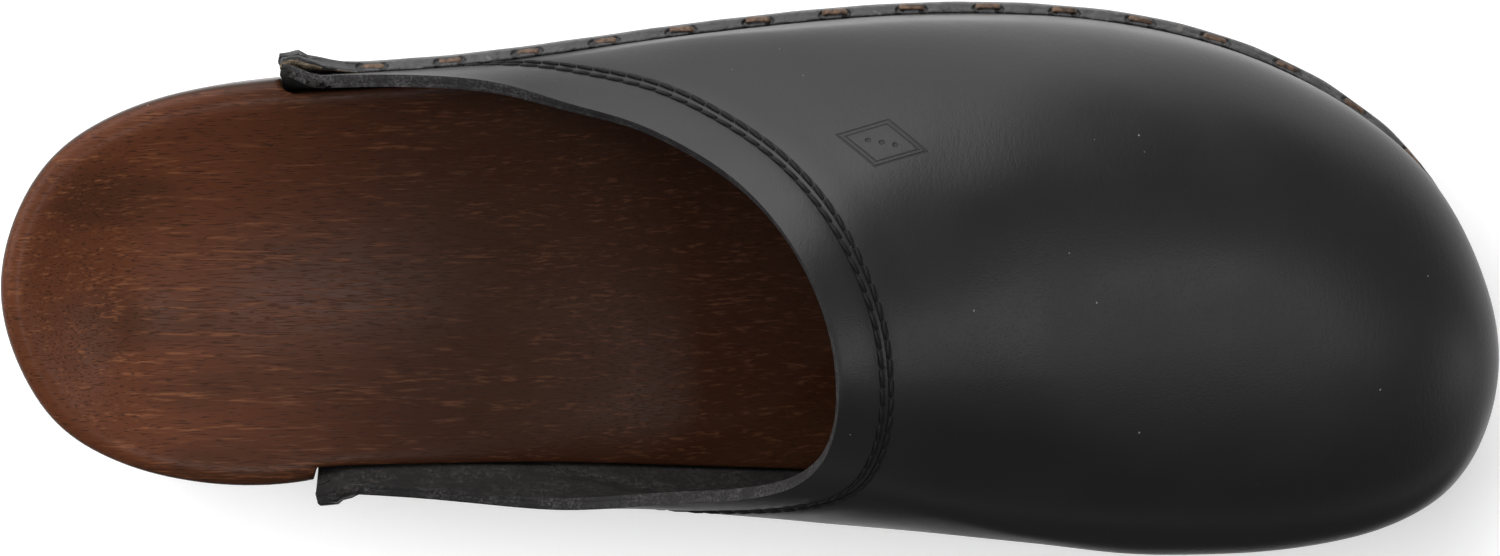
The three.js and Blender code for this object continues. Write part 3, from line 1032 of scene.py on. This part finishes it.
def staple_mesh():
    """A staple with its crown along X, its legs towards -Y, and its outer face near Y 0."""
    bm = bmesh.new()
    bmesh.ops.create_circle(bm, segments=10, radius=WIRE)
    bmesh.ops.rotate(bm, verts=bm.verts, matrix=Matrix.Rotation(math.radians(90), 3, "Y"))
    bmesh.ops.scale(bm, verts=bm.verts, vec=WIRE_SHAPE)
    crown = bmesh.ops.extrude_edge_only(bm, edges=bm.edges[:])["geom"]
    verts = those_of(bmesh.types.BMVert, crown)
    bmesh.ops.translate(bm, verts=verts, vec=(STAPLE_REACH - BEND, 0, 0))
    shoulder = bmesh.ops.spin(
        bm, geom=those_of(bmesh.types.BMEdge, crown) + verts, cent=(STAPLE_REACH - BEND, -BEND, 0),
        axis=(0, 0, -1), angle=math.radians(90), steps=5,
    )["geom_last"]
    leg = bmesh.ops.extrude_edge_only(bm, edges=those_of(bmesh.types.BMEdge, shoulder))["geom"]
    bmesh.ops.translate(bm, verts=those_of(bmesh.types.BMVert, leg), vec=(0, -LEG, 0))
    bmesh.ops.contextual_create(bm, geom=those_of(bmesh.types.BMEdge, leg))
    bmesh.ops.mirror(bm, geom=bm.verts[:] + bm.edges[:] + bm.faces[:], axis="X", merge_dist=1e-5)
    bmesh.ops.remove_doubles(bm, verts=bm.verts, dist=1e-6)
    bmesh.ops.recalc_face_normals(bm, faces=bm.faces)
    mesh = bpy.data.meshes.new("staple")
    bm.to_mesh(mesh)
    bm.free()
    return mesh


# %% [markdown]
# Each packed staple lends its place and its turn to a bent one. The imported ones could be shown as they
# are, but they have no legs and all lie alike. Real ones are driven in by hand: each is twisted a
# little, and those near the heel and the toe are sunk deeper.

# %% Staples in their places
SUNK_AT_HEEL = 0.65 * MM
SUNK_AT_SIDE = 0.2 * MM
SUNK_AT_TOE = 0.6 * MM
SIDE_START = (-0.03, 0.0)
SIDE_END = (0.06, 0.08)
MOST_TWIST = 0.12


def sunk_at(x):
    """How deep a staple sits in the strip."""
    sunk = SUNK_AT_HEEL + (SUNK_AT_SIDE - SUNK_AT_HEEL) * smooth_step(*SIDE_START, x)
    return sunk + (SUNK_AT_TOE - SUNK_AT_SIDE) * smooth_step(*SIDE_END, x)


def axes_of(node):
    """A packed staple's own axes: along its crown, out of its face, and across its wire."""
    middle = middle_of(node)
    arms = [v.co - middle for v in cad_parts[node].data.vertices]
    rough = max(arms, key=lambda arm: arm.length)
    ordered = sorted(arms, key=lambda arm: arm.dot(rough))
    quarter = len(ordered) // 4
    along = (sum(ordered[-quarter:], Vector()) - sum(ordered[:quarter], Vector())).normalized()
    sides = [arm - along * arm.dot(along) for arm in arms]
    outward = along.cross(max(sides, key=lambda side: side.length)).normalized()
    outward *= math.copysign(1, outward.z)
    return along, outward, along.cross(outward)


def make_staples():
    one = staple_mesh()
    bm = bmesh.new()
    for number, name in enumerate(staple_names):
        twist = MOST_TWIST * noise.noise(Vector((number * 1.7, SEED, 0)))
        axes = Matrix(axes_of(name)).transposed().to_4x4()
        axes = axes @ Matrix.Rotation(twist, 4, "Y")
        middle = staple_middles[number]
        axes.translation = middle - axes.col[1].to_3d() * sunk_at(middle.x)
        add_copy(bm, one, axes)
    bpy.data.meshes.remove(one)
    obj = object_from(bm, "wire_staples")
    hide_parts(*staple_names)
    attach(obj, "root")
    print("wire_staples has", len(staple_names), "staples and", len(obj.data.polygons), "faces")
    return obj


def staple_wire():
    """Tarnished wire: a half-metallic shader, because the tarnish hides much of the metal."""
    material, tree, shader = new_finish("staple_wire")
    place = object_place(tree)
    tarnish = rough_noise(tree, place, 900.0, 3.0)
    scratches = rough_noise(tree, place, 2600.0, 2.0, (0.3, 0.3, 1))
    dark = fade(tree, tarnish, 0.4, 0.65)
    base = tint(tree, dark, rgb(0.11, 0.066, 0.042), rgb(0.036, 0.023, 0.017))
    roughness = fade(tree, scratches, 0.3, 0.7, 0.45, 0.65)
    finish_with(tree, shader, base, roughness, scratches, 0.06 * MM)
    shader.inputs["Metallic"].default_value = 0.5
    return material


staples = make_staples()
staples.data.materials.append(staple_wire())

# %% [markdown]
# ## Floor and light
# The clog stands on a plain white floor that glows a little, as a lit table does. A broad soft lamp low
# on the outer side gives the leather its wide highlight, and one behind the heel lights the footbed. A
# small lamp stands where the toe mirrors it, one low in front draws the toe's rim, and one overhead
# leaves a soft spot in the heel's dish. A last one only fills: no gloss shows it. A dark card keeps the
# inner side black. One lamp could light the shoe, but each shiny face mirrors another part of the room.

# %% Floor and lamps
AIM = Vector((0.0, 0.0002, 0.035))


def make_floor():
    bm = bmesh.new()
    bmesh.ops.create_grid(bm, x_segments=8, y_segments=8, size=3.0)
    floor = object_from(bm, "floor")
    material, _, shader = new_finish("pale_floor")
    shader.inputs["Base Color"].default_value = rgb(0.93, 0.93, 0.93)
    shader.inputs["Roughness"].default_value = 0.9
    shader.inputs["Emission Color"].default_value = rgb(1, 1, 1)
    shader.inputs["Emission Strength"].default_value = 0.26
    floor.data.materials.append(material)


def make_flag():
    """A dark card on the inner side, as a studio uses. It is seen only in the leather's gloss."""
    bm = bmesh.new()
    bmesh.ops.create_grid(bm, x_segments=1, y_segments=1, size=0.3)
    bmesh.ops.translate(bm, verts=bm.verts, vec=(0.02, -0.38, 0.002))
    flag = object_from(bm, "flag")
    material, _, shader = new_finish("flag_cloth")
    shader.inputs["Base Color"].default_value = rgb(0.05, 0.05, 0.05)
    flag.data.materials.append(material)
    flag.visible_camera = False
    flag.visible_shadow = False
    flag.visible_diffuse = False


def add_lamp(name, place, size, power, glossy=True):
    """A square soft lamp that faces the shoe. Without gloss it lights but is not mirrored."""
    lamp = bpy.data.lights.new(name, "AREA")
    lamp.size = size
    lamp.energy = power
    obj = bpy.data.objects.new(name, lamp)
    obj.location = place
    obj.rotation_euler = (AIM - Vector(place)).to_track_quat("-Z", "Y").to_euler()
    obj.visible_glossy = glossy
    bpy.context.scene.collection.objects.link(obj)


def light_room(strength):
    world = bpy.data.worlds.new("studio")
    world.use_nodes = True
    world.node_tree.nodes["Background"].inputs[0].default_value = rgb(1, 1, 1)
    world.node_tree.nodes["Background"].inputs[1].default_value = strength
    bpy.context.scene.world = world


make_floor()
make_flag()
add_lamp("broad_lamp", (-0.4, 1.35, 0.66), 1.3, 20)
add_lamp("heel_lamp", (-1.35, 0.35, 1.0), 1.1, 14)
add_lamp("toe_lamp", (0.76, 0.05, 1.4), 0.35, 2.6)
add_lamp("rim_lamp", (1.4, -0.25, 0.4), 0.5, 1.8)
add_lamp("spot_lamp", (-0.08, -0.22, 1.4), 0.1, 1.9)
add_lamp("fill_lamp", (-0.35, 0.8, 1.5), 1.4, 22, glossy=False)
light_room(0.13)

# %% [markdown]
# ## Camera
# The camera looks down from 1.4 m, tilted 12 degrees towards the outer side. A wide lens would stand
# closer and swell the toe, so it has a long one that just holds the shoe.

# %% Camera
TILT = math.radians(12)
DISTANCE = 1.4
VIEW_WIDTH = 0.2757
SENSOR = 36


def make_camera():
    data = bpy.data.cameras.new("camera")
    data.sensor_width = SENSOR
    data.lens = SENSOR * DISTANCE / VIEW_WIDTH
    data.clip_end = 10
    camera = bpy.data.objects.new("camera", data)
    camera.location = AIM + DISTANCE * Vector((0, math.sin(TILT), math.cos(TILT)))
    camera.rotation_euler = (-TILT, 0, 0)
    bpy.context.scene.collection.objects.link(camera)
    bpy.context.scene.camera = camera


make_camera()
bpy.context.scene.view_settings.view_transform = "Standard"
